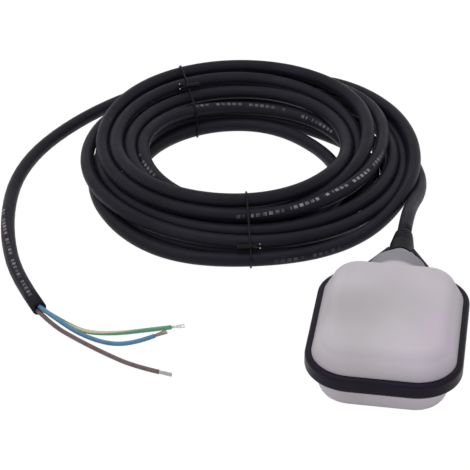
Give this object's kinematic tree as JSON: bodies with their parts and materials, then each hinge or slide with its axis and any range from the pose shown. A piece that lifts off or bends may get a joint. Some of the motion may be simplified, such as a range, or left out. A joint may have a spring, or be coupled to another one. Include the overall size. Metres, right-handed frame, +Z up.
{
  "type": "cable float switch",
  "caption": "Cable float switch: light plastic two-shell float with a dark rim band, grooved cable boot, tied coil of black cable and stripped cores.",
  "frame": {"origin": "on the floor under the middle of the float with its boot", "axes": "+Z up, +Y from the float towards its cable boot, +X to the right"},
  "size_m": [0.328, 0.3871, 0.044],
  "materials": {
    "shell": "milky light grey polypropylene with a soft sheen",
    "rim": "black moulded band",
    "rubber": "black rubber",
    "cable": "black cable sheath",
    "tie": "thin black tie",
    "steel": "plain steel",
    "inner_plastic": "natural polypropylene",
    "switch_plastic": "dark moulded plastic and resin",
    "brass": "plain brass",
    "iron": "cast iron",
    "blue_core": "blue insulation",
    "brown_core": "brown insulation",
    "earth_core": "green and yellow insulation",
    "tinned_wire": "tinned copper strands",
    "copper_wire": "copper strands"
  },
  "bodies": {
    "float": {"upper_shell": "shell", "lower_shell": "shell", "rim_band": "rim", "cable_boot": "rubber", "cable_seal": "rubber", "cable_clamp": "steel", "clamp_screws": "steel", "switch_chamber": "inner_plastic", "chamber_lid": "inner_plastic", "chamber_gasket": "rubber", "lid_screws": "steel", "ball_race": "inner_plastic", "microswitch_case": "switch_plastic", "microswitch_cover": "switch_plastic", "lever_pin": "steel", "switch_terminals": "brass", "switch_screws": "steel", "ballast": "iron", "ballast_screws": "steel", "potting_block": "switch_plastic", "blue_inner_lead": "blue_core", "brown_inner_lead": "brown_core", "earth_inner_lead": "earth_core", "cable_lead": "cable", "cable_coil": "cable", "cable_tail": "cable", "brown_core": "brown_core", "blue_core": "blue_core", "earth_core": "earth_core", "brown_conductor": "tinned_wire", "blue_conductor": "copper_wire", "earth_conductor": "tinned_wire", "front_tie": "tie", "back_tie": "tie"},
    "ball": {"steel_ball": "steel"},
    "lever": {"switch_lever": "steel"},
    "plunger": {"switch_plunger": "switch_plastic"}
  },
  "joints": [
    {"name": "ball_roll", "type": "slide", "parent": "float", "child": "ball", "axis": [0, 1, 0], "range_m": [0, 0.016]},
    {"name": "lever_swing", "type": "hinge", "parent": "float", "child": "lever", "pos_m": [0, -0.05, 0.0242], "axis": [1, 0, 0], "range_deg": [0, 4.5]},
    {"name": "plunger_press", "type": "slide", "parent": "float", "child": "plunger", "axis": [0, 0, 1], "range_m": [0, 0.00105]}
  ],
  "couplings": [
    {"joint": "lever_swing", "follows": "ball_roll", "rad_per_m": 4.9004},
    {"joint": "plunger_press", "follows": "ball_roll", "ratio": 0.064}
  ]
}
